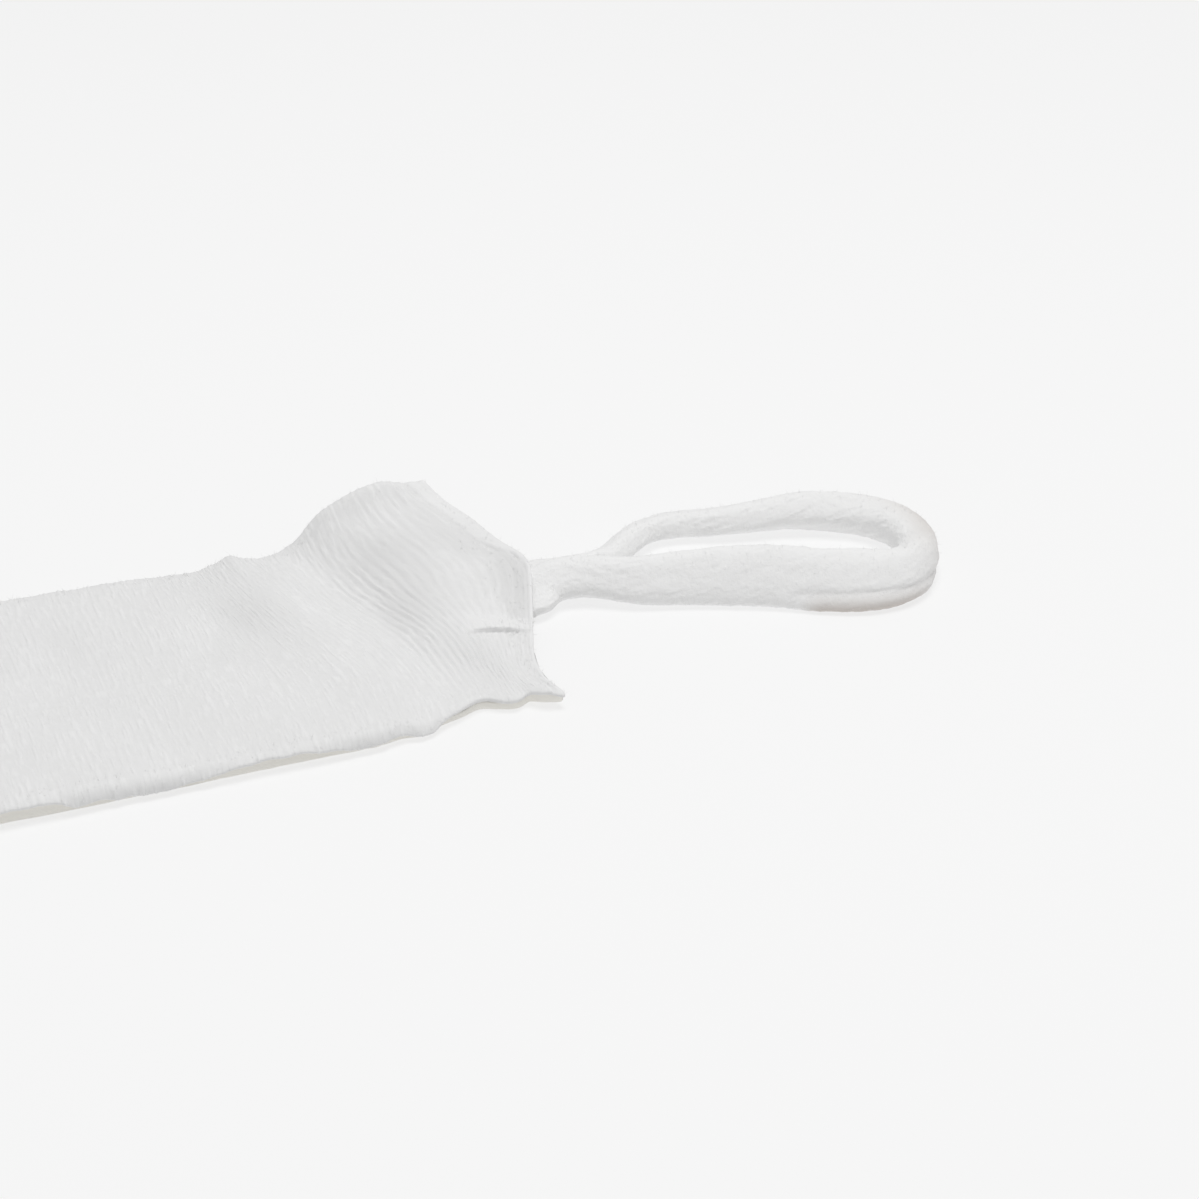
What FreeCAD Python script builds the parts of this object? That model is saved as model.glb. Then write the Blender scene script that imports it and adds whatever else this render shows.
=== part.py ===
import FreeCAD, Part
import math
import os
import Sketcher
from FreeCAD import Vector

# A soft, flexible sock aid lying flat with its knitted face up.
# +X runs along its length to the pull loop, +Y across it and +Z up.  The origin is in the
# middle of the strip's length and width, on the surface that it lies on.  Millimetres.
#
# The strip is built in three long panels, so that its sides can curl up into a trough:
# a centre panel and two side panels, each a lining, a flat stay, a foam pad and a knitted
# cover.  The cover and the lining run on past the core and make a limp end, and a soft
# cord comes out of the middle of that end and goes back into it as one loop.

doc = FreeCAD.newDocument("SockAid")
sheet = doc.addObject("Spreadsheet::Sheet", "Sizes")

driving_sizes = [
    ("halfLength", 165.0, "toe end and pull end, each way from the middle"),
    ("halfWidth", 57.5, "side edge from the centre line"),
    ("foldLine", 20.0, "line that a side panel curls about, from the centre line"),
    ("panelGap", 0.3, "gap between two panels"),
    ("liningThick", 0.9, "woven lining under the strip"),
    ("stayThick", 1.2, "flat plastic stay"),
    ("padThick", 3.4, "foam pad over the stay"),
    ("knitThick", 1.5, "ribbed knit cover"),
    ("seamWide", 1.5, "side seam that joins cover and lining"),
    ("padInset", 1.8, "pad's edge inside the cover's edge"),
    ("toeRadius", 34.0, "rounded corners of the toe end"),
    ("coreEnd", 118.0, "where pads and stays stop before the pull end"),
    ("stayInset", 18.0, "stay's ends inside the pad's ends"),
    ("stayCorner", 5.0, "rounded corners of a stay"),
    ("sideStayStart", 25.0, "inner edge of a side stay"),
    ("sideStayWide", 25.0, "width of a side stay"),
    ("centreStayWide", 32.0, "width of the centre stay"),
    ("pocketSeamAt", 17.4, "seam of the centre stay's pocket"),
    ("pocketSeamWide", 0.8, "width of that seam"),
    ("centreEnd", 163.0, "end of the cover over the cord"),
    ("nearEar", 158.0, "end of the cover at the right side edge"),
    ("farEar", 149.0, "end of the cover at the left side edge"),
    ("flareStart", 98.0, "where the left side's cover starts to rise"),
    ("flareCrest", 122.0, "where it has risen all the way"),
    ("flareRise", 16.0, "rise of the left corner of the cover"),
    ("nearDrop", 4.0, "drop of the right corner of the cover"),
    ("hemWide", 6.0, "rolled hem across the pull end"),
    ("hemThick", 1.0, "height of that hem on the cover"),
    ("hemMargin", 3.0, "hem stops this far from a fold line"),
    ("cordDiameter", 13.0, "soft cotton cord, as a round one"),
    ("cordMiddle", 7.2, "middle of the two strands, from the centre line"),
    ("strandSpacing", 13.4, "one strand of the cord from the other at the exit"),
    ("cordClear", 0.1, "cord's underside above the surface"),
    ("tailLong", 46.0, "cord's sewn-in tails"),
    ("tailWide", 11.4, "width of a tail, pressed flat"),
    ("tailThick", 3.0, "thickness of a tail"),
    ("tailRound", 1.3, "rounding of a tail's long edges"),
    ("tapeWide", 24.4, "anchor tape under the tails"),
    ("tapeLong", 41.0, "length of the anchor tape"),
    ("tapeThick", 1.0, "thickness of the anchor tape"),
    ("tackWide", 1.6, "bar tack along the strip"),
    ("tackPitch", 14.0, "one bar tack to the next"),
    ("tackStart", 4.8, "first bar tack from the tape's start"),
]
for row, (alias, value, note) in enumerate(driving_sizes, 1):
    sheet.set(f"A{row}", alias)
    sheet.set(f"B{row}", str(value))
    sheet.set(f"C{row}", note)
    sheet.setAlias(f"B{row}", alias)
doc.recompute()

# Heights of the layers, as expressions on the sheet.
stay_z = "Sizes.liningThick"
pad_z = "Sizes.liningThick + Sizes.stayThick"
knit_z = "Sizes.liningThick + Sizes.stayThick + Sizes.padThick"
seam_height = "Sizes.stayThick + Sizes.padThick"
tail_z = "Sizes.liningThick + Sizes.tapeThick"
toe_x = "-Sizes.halfLength"
core_x = "-Sizes.halfLength + Sizes.padInset"
core_length = "Sizes.coreEnd + Sizes.halfLength - Sizes.padInset"
side_y = "Sizes.foldLine + Sizes.panelGap / 2"
side_width = "Sizes.halfWidth - Sizes.foldLine - Sizes.panelGap / 2"
centre_y = "-Sizes.foldLine + Sizes.panelGap / 2"
centre_width = "2 * Sizes.foldLine - Sizes.panelGap"

sub_parts = []


def size(alias):
    """A driving size, read back from the sheet."""
    return float(sheet.get(alias))


def place(item, x, y, z):
    """Bind the three coordinates of an object's Placement."""
    for axis, expression in zip("xyz", (x, y, z)):
        item.setExpression(f"Placement.Base.{axis}", expression)


def keep(item, label):
    item.Label = label
    sub_parts.append(item)
    return item


def plate_body(name, length, width, thick, round_edges=None, radius=None):
    """A flat body, a rectangle padded up from its own origin.  round_edges picks the
    edges to round from the pad's own box; radius is theirs."""
    body = doc.addObject("PartDesign::Body", name)
    plane = [item for item in body.Origin.OriginFeatures if item.Role == "XY_Plane"][0]
    sketch = body.newObject("Sketcher::SketchObject", name + "_outline")
    sketch.AttachmentSupport = [(plane, "")]
    sketch.MapMode = "FlatFace"
    drawn = 10.0                # the rectangle's sides until the constraints take over
    corners = [Vector(0, 0, 0), Vector(drawn, 0, 0), Vector(drawn, drawn, 0), Vector(0, drawn, 0)]
    for start, end in zip(corners, corners[1:] + corners[:1]):
        sketch.addGeometry(Part.LineSegment(start, end), False)
    for line in range(4):
        sketch.addConstraint(Sketcher.Constraint("Coincident", line, 2, (line + 1) % 4, 1))
    for line in (0, 2):
        sketch.addConstraint(Sketcher.Constraint("Horizontal", line))
    for line in (1, 3):
        sketch.addConstraint(Sketcher.Constraint("Vertical", line))
    sketch.addConstraint(Sketcher.Constraint("Coincident", 0, 1, -1, 1))
    along = sketch.addConstraint(Sketcher.Constraint("DistanceX", 0, 1, 0, 2, drawn))
    across = sketch.addConstraint(Sketcher.Constraint("DistanceY", 1, 1, 1, 2, drawn))
    sketch.setExpression(f"Constraints[{along}]", length)
    sketch.setExpression(f"Constraints[{across}]", width)
    pad = body.newObject("PartDesign::Pad", name + "_pad")
    pad.Profile = sketch
    pad.setExpression("Length", thick)
    if round_edges:
        doc.recompute()
        fillet = body.newObject("PartDesign::Fillet", name + "_round")
        fillet.Base = (pad, round_edges(pad.Shape))
        fillet.setExpression("Radius", radius)
    return body


def upright_edges(shape, wanted):
    """Names of the edges along Z for which wanted(low x side, low y side) is true."""
    box = shape.BoundBox
    names = []
    for number, edge in enumerate(shape.Edges, 1):
        direction = edge.tangentAt(edge.FirstParameter)
        point = edge.Vertexes[0].Point
        if abs(direction.z) > 0.9 and wanted(point.x < box.Center.x, point.y < box.Center.y):
            names.append(f"Edge{number}")
    return names


def toe_corner(left):
    """The outer corner of a side panel at its toe end."""
    return lambda shape: upright_edges(shape, lambda low_x, low_y: low_x and low_y != left)


def all_corners(shape):
    return upright_edges(shape, lambda low_x, low_y: True)


def long_edges(shape):
    """Names of the edges along X."""
    names = []
    for number, edge in enumerate(shape.Edges, 1):
        if abs(edge.tangentAt(edge.FirstParameter).x) > 0.9:
            names.append(f"Edge{number}")
    return names


def side_origin(left, width):
    """The low-Y edge of a side panel that starts at its fold line."""
    return side_y if left else f"-({side_y}) - ({width})"


def ruled_sheet(name, stations, thick):
    """A sheet through stations, each a bottom line (inner point, outer point), ruled
    from one line to the next and thick measured straight up."""
    rise = Vector(0, 0, thick)
    wires = []
    for inner, outer in stations:
        wires.append(Part.makePolygon([inner, outer, outer + rise, inner + rise, inner]))
    feature = doc.addObject("Part::Feature", name)
    feature.Shape = Part.makeLoft(wires, True, True)
    return feature


# Lining: the smooth woven underside, which the strip lies on.

def lining(side):
    if side == "centre":
        body = plate_body("LiningCentre", "Sizes.centreEnd + Sizes.halfLength - Sizes.seamWide / 2",
                          centre_width, "Sizes.liningThick")
        place(body, toe_x + " + Sizes.seamWide / 2", centre_y, "0")
    else:
        left = side == "left"
        ear = "Sizes.farEar" if left else "Sizes.nearEar"
        width = side_width + " - Sizes.seamWide / 2"
        body = plate_body("Lining" + side.title(), ear + " + Sizes.halfLength - Sizes.seamWide / 2",
                          width, "Sizes.liningThick",
                          toe_corner(left), "Sizes.toeRadius - Sizes.seamWide / 2")
        place(body, toe_x + " + Sizes.seamWide / 2", side_origin(left, width), "0")
    keep(body, "lining_" + side)


# Stays: thin flat plastic strips that stop the strip from collapsing along its length.

def stay(side):
    length = core_length + " - 2 * Sizes.stayInset"
    width = "Sizes.centreStayWide" if side == "centre" else "Sizes.sideStayWide"
    body = plate_body("Stay" + side.title(), length, width, "Sizes.stayThick",
                      all_corners, "Sizes.stayCorner")
    start = {"centre": "-Sizes.centreStayWide / 2",
             "left": "Sizes.sideStayStart",
             "right": "-Sizes.sideStayStart - Sizes.sideStayWide"}[side]
    place(body, core_x + " + Sizes.stayInset", start, stay_z)
    keep(body, "stay_" + side)


# Pads: thin foam between the stays and the cover.

def foam_pad(side):
    if side == "centre":
        body = plate_body("PadCentre", core_length, centre_width, "Sizes.padThick")
        place(body, core_x, centre_y, pad_z)
    else:
        left = side == "left"
        width = side_width + " - Sizes.padInset"
        body = plate_body("Pad" + side.title(), core_length, width, "Sizes.padThick",
                          toe_corner(left), "Sizes.toeRadius - Sizes.padInset")
        place(body, core_x, side_origin(left, width), pad_z)
    keep(body, "pad_" + side)


# Knit cover: flat over the core, then limp.  On the left it flares and rises to its corner,
# on the right it drops a little.

def cover_lines(left):
    """Bottom lines of a side's limp cover, each an inner and an outer point: where it leaves
    the flat part, on the left also where it has risen all the way, and the pull end."""
    level = size("liningThick") + size("stayThick") + size("padThick")
    sign = 1 if left else -1
    inner_y = sign * (size("foldLine") + size("panelGap") / 2)
    outer_y = sign * size("halfWidth")
    rise = size("flareRise") if left else -size("nearDrop")

    def line(inner_x, outer_x, outer_rise):
        return Vector(inner_x, inner_y, level), Vector(outer_x, outer_y, level + outer_rise)

    if left:
        return [line(size("flareStart"), size("flareStart"), 0),
                line(size("flareCrest"), size("flareCrest"), rise),
                line(size("centreEnd"), size("farEar"), rise)]
    return [line(size("coreEnd"), size("coreEnd"), 0),
            line(size("centreEnd"), size("nearEar"), rise)]


def knit_cover(side):
    if side == "centre":
        body = plate_body("KnitCentre", "Sizes.centreEnd + Sizes.halfLength",
                          centre_width, "Sizes.knitThick")
        place(body, toe_x, centre_y, knit_z)
        keep(body, "knit_centre")
        return
    left = side == "left"
    bend = "Sizes.flareStart" if left else "Sizes.coreEnd"
    flat = plate_body("KnitFlat" + side.title(), bend + " + Sizes.halfLength", side_width,
                      "Sizes.knitThick", toe_corner(left), "Sizes.toeRadius")
    place(flat, toe_x, side_origin(left, side_width), knit_z)
    limp = ruled_sheet("KnitLimp" + side.title(), cover_lines(left), size("knitThick"))
    whole = doc.addObject("Part::Fuse", "Knit" + side.title())
    whole.Base = flat
    whole.Tool = limp
    keep(whole, "knit_" + side)


# Hem: the cover's edge is rolled across the pull end.

def end_hem(side):
    if side == "centre":
        body = plate_body("HemCentre", "Sizes.hemWide",
                          centre_width + " - 2 * Sizes.hemMargin", "Sizes.hemThick")
        place(body, "Sizes.centreEnd - Sizes.hemWide", centre_y + " + Sizes.hemMargin",
              knit_z + " + Sizes.knitThick")
        keep(body, "hem_centre")
        return
    # The hem lies on the cover's last ruled stretch, a fixed share of each ruling wide.
    before, end = cover_lines(side == "left")[-2:]
    across = size("hemMargin") / abs(end[1].y - end[0].y)
    back = size("hemWide") / (end[0].x - before[0].x)
    top = Vector(0, 0, size("knitThick"))

    def on_cover(share_across, share_back):
        at_end = end[0] + (end[1] - end[0]) * share_across
        at_before = before[0] + (before[1] - before[0]) * share_across
        return at_end + (at_before - at_end) * share_back + top

    lines = [(on_cover(across, share), on_cover(1, share)) for share in (back, 0)]
    hem = ruled_sheet("Hem" + side.title(), lines, size("hemThick"))
    keep(hem, "hem_" + side)


# Side seams: the turned-down edge that closes cover to lining, round the toe corner too.

def side_seam(left):
    side = "Left" if left else "Right"
    length = "Sizes.coreEnd + Sizes.halfLength"
    outer = plate_body("SeamOuter" + side, length, side_width, seam_height,
                       toe_corner(left), "Sizes.toeRadius")
    place(outer, toe_x, side_origin(left, side_width), stay_z)
    reach = side_width + " - Sizes.seamWide + Sizes.foldLine / 2"
    inner = plate_body("SeamInner" + side, length, reach, seam_height + " + 2 * Sizes.seamWide",
                       toe_corner(left), "Sizes.toeRadius - Sizes.seamWide")
    inner_y = "Sizes.foldLine / 2 + Sizes.panelGap / 2"
    place(inner, toe_x + " + Sizes.seamWide", inner_y if left else f"-({inner_y}) - ({reach})",
          stay_z + " - Sizes.seamWide")
    seam = doc.addObject("Part::Cut", "Seam" + side)
    seam.Base = outer
    seam.Tool = inner
    keep(seam, "side_seam_" + side.lower())


def toe_seam():
    body = plate_body("ToeSeam", "Sizes.seamWide", centre_width, seam_height)
    place(body, toe_x, centre_y, stay_z)
    keep(body, "toe_seam")


def pocket_seam(label, low_edge):
    """A row of stitching beside the centre stay, which makes its pocket."""
    body = plate_body("PocketSeam" + label.title(), core_length + " - 2 * Sizes.stayInset",
                      "Sizes.pocketSeamWide", "Sizes.stayThick")
    place(body, core_x + " + Sizes.stayInset", low_edge, stay_z)
    keep(body, "pocket_seam_" + label)


# Anchor: both tails of the cord lie on a tape inside the end, held by bar tacks.

def anchor_tape():
    body = plate_body("AnchorTape", "Sizes.tapeLong", "Sizes.tapeWide", "Sizes.tapeThick")
    place(body, "Sizes.centreEnd - Sizes.tapeLong - Sizes.tapeThick",
          "Sizes.cordMiddle - Sizes.tapeWide / 2", stay_z)
    keep(body, "anchor_tape")


def cord_tail(label, sign):
    body = plate_body("CordTail" + label.title(), "Sizes.tailLong", "Sizes.tailWide",
                      "Sizes.tailThick", long_edges, "Sizes.tailRound")
    middle = f"Sizes.cordMiddle {sign} Sizes.strandSpacing / 2"
    place(body, "Sizes.halfLength - Sizes.tailLong", middle + " - Sizes.tailWide / 2", tail_z)
    keep(body, "cord_tail_" + label)


def bar_tacks():
    bars = []
    for number in range(3):
        bar = doc.addObject("Part::Box", f"BarTack{number + 1}")
        bar.setExpression("Length", "Sizes.tackWide")
        bar.setExpression("Width", "Sizes.tapeWide - 2 * Sizes.tapeThick")
        bar.setExpression("Height", seam_height + " - Sizes.tapeThick - Sizes.tailThick")
        place(bar, f"Sizes.centreEnd - Sizes.tapeLong + Sizes.tackStart + {number} * Sizes.tackPitch",
              "Sizes.cordMiddle - Sizes.tapeWide / 2 + Sizes.tapeThick", tail_z + " + Sizes.tailThick")
        bars.append(bar)
    group = doc.addObject("Part::Compound", "BarTacks")
    group.Links = bars
    keep(group, "bar_tacks")


# Pull loop: the cord's free length, from one strand's exit round to the other's.  Its two
# strands lie side by side at the exit, part, and turn round at the loop's end.

def loop_route():
    exit_x = size("halfLength") + size("panelGap")
    near = size("cordMiddle") - size("strandSpacing") / 2
    far = size("cordMiddle") + size("strandSpacing") / 2
    level = size("cordDiameter") / 2 + size("cordClear")
    plan = [
        (exit_x, near), (180.0, near), (199.0, -2.2), (223.0, -10.5), (253.0, -19.0), (273.0, -22.5),
        (288.5, -21.5), (298.0, -10.5), (298.0, 4.0), (288.0, 14.5), (270.0, 18.5),
        (246.0, 22.5), (224.0, 23.5), (205.0, 17.5), (191.0, 13.2), (exit_x + 12.0, far), (exit_x, far),
    ]
    return [Vector(x, y, level) for x, y in plan]


def rounded_path(points):
    """Straight runs joined by tangent arcs, each arc as large as its two runs allow."""
    edges = []
    radii = []
    at = points[0]
    for before, corner, after in zip(points, points[1:], points[2:]):
        towards = (corner - before).normalize()
        away = (after - corner).normalize()
        half_turn = towards.getAngle(away) / 2
        setback = 0.45 * min((corner - before).Length, (after - corner).Length)
        radius = setback / math.tan(half_turn)
        start = corner - towards * setback
        end = corner + away * setback
        inward = (away - towards).normalize()
        middle = corner + inward * (radius / math.cos(half_turn) - radius)
        edges.append(Part.LineSegment(at, start).toShape())
        edges.append(Part.Arc(start, middle, end).toShape())
        radii.append(radius)
        at = end
    edges.append(Part.LineSegment(at, points[-1]).toShape())
    return Part.Wire(edges), radii


def pull_cord():
    points = loop_route()
    path, radii = rounded_path(points)
    radius = size("cordDiameter") / 2
    section = Part.Wire([Part.makeCircle(radius, points[0], points[1] - points[0])])
    feature = doc.addObject("Part::Feature", "PullCord")
    feature.Shape = path.makePipeShell([section], True, False)
    keep(feature, "pull_cord")
    print("cord length", round(path.Length, 1), "section x length",
          round(math.pi * radius ** 2 * path.Length), "volume", round(feature.Shape.Volume))
    print("cord radii in diameters", [round(value / radius / 2, 1) for value in radii])


for panel in ("centre", "left", "right"):
    lining(panel)
    stay(panel)
    foam_pad(panel)
    knit_cover(panel)
doc.recompute()
for panel in ("centre", "left", "right"):
    end_hem(panel)
side_seam(True)
side_seam(False)
toe_seam()
pocket_seam("far", "Sizes.pocketSeamAt")
pocket_seam("near", "-Sizes.pocketSeamAt - Sizes.pocketSeamWide")
anchor_tape()
cord_tail("near", "-")
cord_tail("far", "+")
bar_tacks()
pull_cord()
doc.recompute()

for item in doc.Objects:
    if "Invalid" in item.State or "Error" in item.State:
        raise SystemExit(f"{item.Name} did not build: {item.State}")
for item in sub_parts:
    if item.Shape.isNull() or not item.Shape.isValid() or item.Shape.Volume <= 0:
        raise SystemExit(f"{item.Label} has no valid solid")

os.makedirs("parts", exist_ok=True)
for item in sub_parts:
    item.Shape.exportStep(f"parts/{item.Label}.step")
    box = item.Shape.BoundBox
    ends = (box.XMin, box.XMax, box.YMin, box.YMax, box.ZMin, box.ZMax)
    print(item.Label, "volume", round(item.Shape.Volume), "x y z", [round(value, 1) for value in ends])
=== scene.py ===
import math
import bpy
import numpy as np
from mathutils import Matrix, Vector


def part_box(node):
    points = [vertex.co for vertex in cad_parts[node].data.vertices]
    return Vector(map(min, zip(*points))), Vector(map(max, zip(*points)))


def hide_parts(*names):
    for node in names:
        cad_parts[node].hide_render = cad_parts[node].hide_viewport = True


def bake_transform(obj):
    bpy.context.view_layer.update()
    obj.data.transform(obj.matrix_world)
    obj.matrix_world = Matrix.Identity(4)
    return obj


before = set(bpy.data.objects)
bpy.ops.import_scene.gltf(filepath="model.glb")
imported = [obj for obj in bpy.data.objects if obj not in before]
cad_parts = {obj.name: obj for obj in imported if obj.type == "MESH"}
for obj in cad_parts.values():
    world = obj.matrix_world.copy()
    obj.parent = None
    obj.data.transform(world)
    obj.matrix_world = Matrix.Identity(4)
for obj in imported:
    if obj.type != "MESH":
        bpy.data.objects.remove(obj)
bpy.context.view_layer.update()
mm = 0.001                                # shapes are worked out in millimetres, meshes are in metres
print("frame loaded:", len(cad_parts), "nodes")


# small tools for arrays
def smooth(low, high, value):             # 0 below low, 1 above high, 3 t t - 2 t t t between
    t = np.clip((value - low) / (high - low), 0, 1)
    return t * t * (3 - 2 * t)


def bump(centre, width, value):           # a bell of height 1: e to the minus (distance / width) squared
    return np.exp(-((value - centre) / width) ** 2)


def through(points, value):
    # A smooth curve through a few (place, height) points, flat past its ends: on each span, the cubic
    # that meets the heights and the slopes at its two points.
    knots = np.array([p[0] for p in points], float)
    heights = np.array([p[1] for p in points], float)
    slopes = np.gradient(heights, knots)
    slopes[0] = slopes[-1] = 0
    value = np.clip(value, knots[0], knots[-1])
    i = np.clip(np.searchsorted(knots, value) - 1, 0, len(knots) - 2)
    gap = knots[i + 1] - knots[i]
    t = (value - knots[i]) / gap
    return ((1 + 2 * t) * (1 - t) ** 2 * heights[i] + t * (1 - t) ** 2 * gap * slopes[i]
            + t * t * (3 - 2 * t) * heights[i + 1] + t * t * (t - 1) * gap * slopes[i + 1])


def cloudy(x, y, size, seed):
    # Noise from -1 to 1: random heights on a square lattice of the given size, each place blending the
    # four round it by a smooth step along x and along y.
    lattice = np.random.RandomState(seed).uniform(-1, 1, (64, 64))
    px, py = np.broadcast_arrays(x / size + 500, y / size + 500)
    ix, iy = np.floor(px).astype(int), np.floor(py).astype(int)
    tx, ty = px - ix, py - iy
    tx, ty = tx * tx * (3 - 2 * tx), ty * ty * (3 - 2 * ty)
    a, b = lattice[ix % 64, iy % 64], lattice[(ix + 1) % 64, iy % 64]
    c, d = lattice[ix % 64, (iy + 1) % 64], lattice[(ix + 1) % 64, (iy + 1) % 64]
    return (a * (1 - tx) + b * tx) * (1 - ty) + (c * (1 - tx) + d * tx) * ty


def cloudy3(x, y, z, seed):
    # The same in three directions: eight heights round each place, which is already divided by its size.
    lattice = np.random.RandomState(seed).uniform(-1, 1, (32, 32, 32))
    corner = [np.floor(v + 500).astype(int) for v in (x, y, z)]
    part = [v + 500 - c for v, c in zip((x, y, z), corner)]
    part = [t * t * (3 - 2 * t) for t in part]
    total = 0
    for i, j, k in np.ndindex(2, 2, 2):
        weight = 1.0
        for step, t in zip((i, j, k), part):
            weight = weight * (t if step else 1 - t)
        total = total + weight * lattice[(corner[0] + i) % 32, (corner[1] + j) % 32, (corner[2] + k) % 32]
    return total


def makeMesh(name, points, faces, sharp=()):
    # A mesh object from an (n, 3) array of points in mm and arrays of corner numbers, one row to a face.
    mesh = bpy.data.meshes.new(name)
    loops = np.concatenate([np.asarray(f, np.int32).ravel() for f in faces])
    sizes = np.concatenate([np.full(len(f), np.asarray(f).shape[1], np.int32) for f in faces])
    mesh.vertices.add(len(points))
    mesh.vertices.foreach_set("co", (np.asarray(points) * mm).astype(np.float32).ravel())
    mesh.loops.add(len(loops))
    mesh.loops.foreach_set("vertex_index", loops)
    mesh.polygons.add(len(sizes))
    starts = np.concatenate([[0], np.cumsum(sizes)[:-1]]).astype(np.int32)
    mesh.polygons.foreach_set("loop_start", starts)
    mesh.update(calc_edges=True)
    mesh.validate()
    mesh.polygons.foreach_set("use_smooth", np.ones(len(mesh.polygons), bool))
    if len(sharp):                        # edges between marked points stay creased
        marked = np.zeros(len(points), bool)
        marked[sharp] = True
        pairs = np.zeros(len(mesh.edges) * 2, np.int32)
        mesh.edges.foreach_get("vertices", pairs)
        crease = marked[pairs].reshape(-1, 2).all(1)
        flags = mesh.attributes.new("sharp_edge", "BOOLEAN", "EDGE")
        flags.data.foreach_set("value", crease)
    piece = bpy.data.objects.new(name, mesh)
    bpy.context.scene.collection.objects.link(piece)
    return piece


def ringFaces(rings, around, flip, caps=None):
    # Quads between closed rings, point j of ring i to point j + 1 of ring i + 1, and a cap at each end.
    i, j = np.meshgrid(np.arange(rings - 1), np.arange(around), indexing="ij")
    k = (j + 1) % around
    quads = np.stack([i * around + j, i * around + k, (i + 1) * around + k, (i + 1) * around + j], -1)
    first, last = caps or (np.arange(around)[None, :], np.arange(around)[None, :])
    faces = [quads.reshape(-1, 4), first[:, ::-1], last + (rings - 1) * around]
    return [f[:, ::-1] for f in faces] if flip else faces


def zipped(s, outerCount):
    # Triangles over a folded sheet's end: each step along one face reaches to the point of the other
    # face that is as far along, by the distance s.
    outer, inner = np.arange(outerCount), np.arange(len(s) - 1, outerCount - 1, -1)
    reached = inner[np.searchsorted(s[inner][1:], s[outer][1:], side="right")]
    passed = outer[np.searchsorted(s[outer][1:], s[inner][1:], side="left")]
    fromOuter = np.stack([outer[:-1], outer[1:], reached], 1)
    fromInner = np.stack([passed, inner[1:], inner[:-1]], 1)
    return np.concatenate([fromOuter, fromInner])


def middleLine(rings, around):            # numbers of each ring's first and last point: i * around + 0 or - 1
    first = np.arange(rings) * around
    return np.concatenate([first, first + around - 1])


def paint(piece, name, values):           # one number per point, for a material to read
    attribute = piece.data.attributes.new(name, "FLOAT", "POINT")
    attribute.data.foreach_set("value", np.asarray(values, np.float32).ravel())


# the strip's own shape
strip = {
    "toe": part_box("knit_centre")[0].x / mm,
    "end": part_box("knit_centre")[1].x / mm,
    "half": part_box("knit_left")[1].y / mm,
    "top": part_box("knit_centre")[1].z / mm,
    "coreEnd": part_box("pad_centre")[1].x / mm,
    "toeRadius": 34.0,
    "humpAt": 102,
    "humpHigh": 1.9,
    "valleyAt": 123,
    "valleyDeep": 1.5,
    "crestAt": 138,                       # top of the ridge, on the middle line
    "crestSlant": 0.18,
    "ridgeHigh": 3.2,
    "propHigh": 2.6,                      # how far the cord props up the end
    "crown": 0.9,
    "flareLag": 9,                        # the rise starts this much later inside the far edge
    "limpSink": 2.1,
}


def halfWidth(u):                         # the strip's outline: straight, with a quarter circle at the toe
    r = strip["toeRadius"]
    inside = np.clip(strip["toe"] + r - u, 0, r)
    return strip["half"] - r + np.sqrt(np.maximum(r * r - inside * inside, 0))


def endForward(y):                        # how far the end edge stands ahead of its straight line
    return through([(-57, -6.5), (-45, -8.5), (-33, -8.0), (-22, -5.0), (-12, -1.5), (0, 2.5), (10, 5.5),
                    (16, 5.5), (26, 1.0), (39, -4.8), (50, -10.5), (57, -14)], y)


def midForward(y):                        # the same for the bunched cloth behind it
    return through([(-57, 0.5), (-45, 1.0), (-22, -0.5), (-8, -4.0), (5, -8.5), (20, -13), (40, -17),
                    (57, -19)], y)


def alongShift(u, y):
    # Cloth moved along the strip: by midForward where it bunches, fading into endForward at the end edge.
    late = smooth(132, strip["end"], u)
    return midForward(y) * smooth(48, 112, u) * (1 - late) + endForward(y) * late


def acrossShift(u, y):
    # The near edge is drawn in where the cloth is limp: a pull along u by the cube of the way to that edge.
    pull = through([(96, 0), (106, 1.8), (112, 1.2), (119, 5.0), (126, 7.8), (133, 10.3), (138, 8.0),
                    (144, 6.4), (151, 7.8), (156, 5.0), (160, 3.6), (163, 3.2)], u)
    near = np.clip(-y / strip["half"], 0, 1)
    return pull * near ** 3


def flareHeight(u, y):                    # the far side rises: a ramp along the strip by a profile across
    later = u - strip["flareLag"] * (1 - smooth(36, 57, y))
    ramp = through([(110, 0), (118, 0.03), (125, 0.31), (132, 0.70), (139, 0.95), (145, 1.12),
                    (151, 1.17), (156, 1.07), (163, 1.0)], later)
    profile = through([(-14, 0), (0, 0.7), (12, 2.2), (26, 5.0), (39, 8.2), (50, 11.6), (57, 15.4)], y)
    return ramp * profile


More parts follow.
